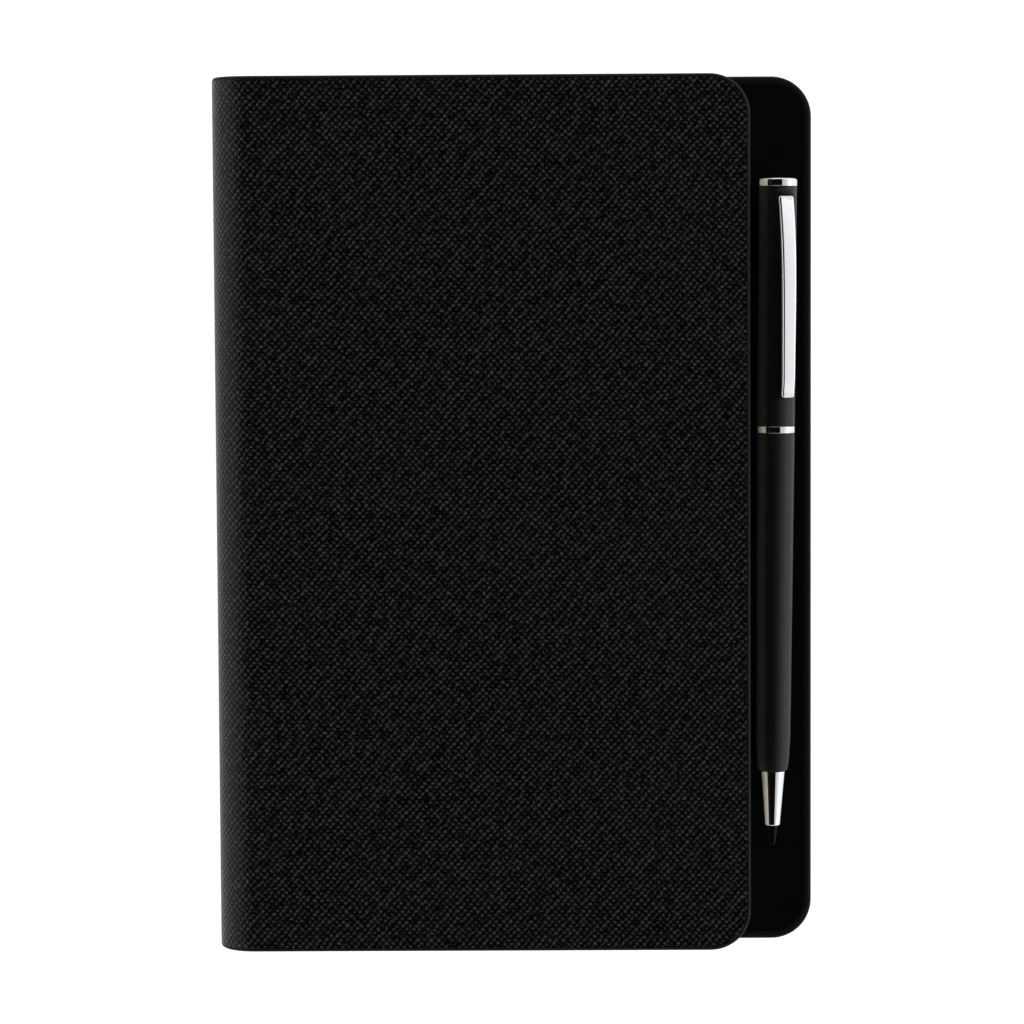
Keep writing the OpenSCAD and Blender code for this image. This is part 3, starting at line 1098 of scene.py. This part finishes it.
@dataclass(frozen=True)
class Softbox:
    """One studio light: a large soft panel aimed at the book."""

    name: str
    azimuth: float
    elevation: float
    distance: float
    size: tuple[float, float]
    power: float

    def hang(self) -> None:
        """Adds the light. Azimuth 0 stands over +X and 90 over +Y."""
        data = bpy.data.lights.new(self.name, "AREA")
        data.shape, data.energy = "RECTANGLE", self.power
        data.size, data.size_y = self.size
        lamp = add_object(self.name, data)
        a, e = math.radians(self.azimuth), math.radians(self.elevation)
        away = Vector((math.cos(a) * math.cos(e), math.sin(a) * math.cos(e), math.sin(e)))
        lamp.location = away * self.distance
        lamp.rotation_mode = "QUATERNION"
        lamp.rotation_quaternion = (-away).to_track_quat("-Z", "Y")


@dataclass
class Studio:
    """The pale floor, the soft room, the lights and the camera."""

    floor_radius: float = 6.0
    floor_drop: float = 0.3 * MM
    floor_glow: float = 0.75
    room_glow: float = 0.9
    walls_to: float = 0.5
    ceiling_from: float = 0.74
    ceiling: float = 0.004
    camera_place: tuple[float, float, float] = (5.8 * MM, 47.5 * MM, 705.8 * MM)
    camera_turn: tuple[float, float, float] = (-3.86, 0.50, -0.32)
    lens: float = 120.3
    lights: tuple[Softbox, ...] = (
        Softbox("low_right_softbox", 0, 16, 0.9, (1.2, 0.34), 1.9),
        Softbox("high_right_softbox", 0, 50, 1.5, (2.0, 0.8), 3.5),
        Softbox("left_softbox", 180, 30, 0.5, (0.8, 0.2), 0.75),
    )

    def floor(self) -> None:
        """Lays a wide plain floor just under the book."""
        bm = bmesh.new()
        bmesh.ops.create_circle(bm, cap_ends=True, segments=96, radius=self.floor_radius)
        bmesh.ops.translate(bm, vec=(0, 0, -self.floor_drop), verts=bm.verts)
        mesh = bpy.data.meshes.new("floor")
        bm.to_mesh(mesh)
        bm.free()
        floor = add_object("floor", mesh)
        # White light table: an evenly lit matte panel
        panel = Grained("white_light_table", "#f4f4f4", 0.9, specular=0.1).make()
        shader = next(n for n in panel.node_tree.nodes if n.type == "BSDF_PRINCIPLED")
        shader.inputs["Emission Color"].default_value = linear("#ffffff")
        shader.inputs["Emission Strength"].default_value = self.floor_glow
        floor.data.materials.append(panel)

    def room(self) -> None:
        """Surrounds the book with a soft room: white walls under a dark ceiling."""
        world = bpy.data.worlds.new("soft_room")
        bpy.context.scene.world = world
        world.use_nodes = True
        tree = world.node_tree
        tree.nodes.clear()
        way = add_node(tree, "ShaderNodeTexCoord").outputs["Generated"]
        height = add_node(tree, "ShaderNodeSeparateXYZ", inputs={0: way}).outputs["Z"]
        ramp = add_node(tree, "ShaderNodeValToRGB", inputs={"Fac": height})
        low, high = ramp.color_ramp.elements
        low.position, low.color = self.walls_to, (1, 1, 1, 1)
        high.position, high.color = self.ceiling_from, (*[self.ceiling] * 3, 1)
        back = add_node(tree, "ShaderNodeBackground", inputs={
            "Color": ramp.outputs["Color"], "Strength": self.room_glow})
        add_node(tree, "ShaderNodeOutputWorld", inputs={"Surface": back.outputs[0]})

    def camera(self) -> None:
        """Sets the camera nearly straight above the book."""
        data = bpy.data.cameras.new("camera")
        data.lens, data.sensor_width = self.lens, 36.0
        data.clip_start, data.clip_end = 0.01, 50.0
        camera = add_object("camera", data)
        camera.location = self.camera_place
        camera.rotation_euler = [math.radians(a) for a in self.camera_turn]
        bpy.context.scene.camera = camera

    def build(self) -> None:
        """Sets up the whole studio."""
        bpy.context.scene.view_settings.view_transform = "Standard"
        self.floor()
        self.room()
        self.camera()
        for light in self.lights:
            light.hang()


def main() -> None:
    """Builds the studio, the case, the text block and the pen, in that order."""
    logging.basicConfig(level=logging.INFO, format="%(name)s: %(message)s")
    book = Book.from_frame()
    for part in (Studio(), Case(book), TextBlock(book), Pen()):
        log.info("building %s", type(part).__name__)
        part.build()


if __name__ == "__main__":
    main()
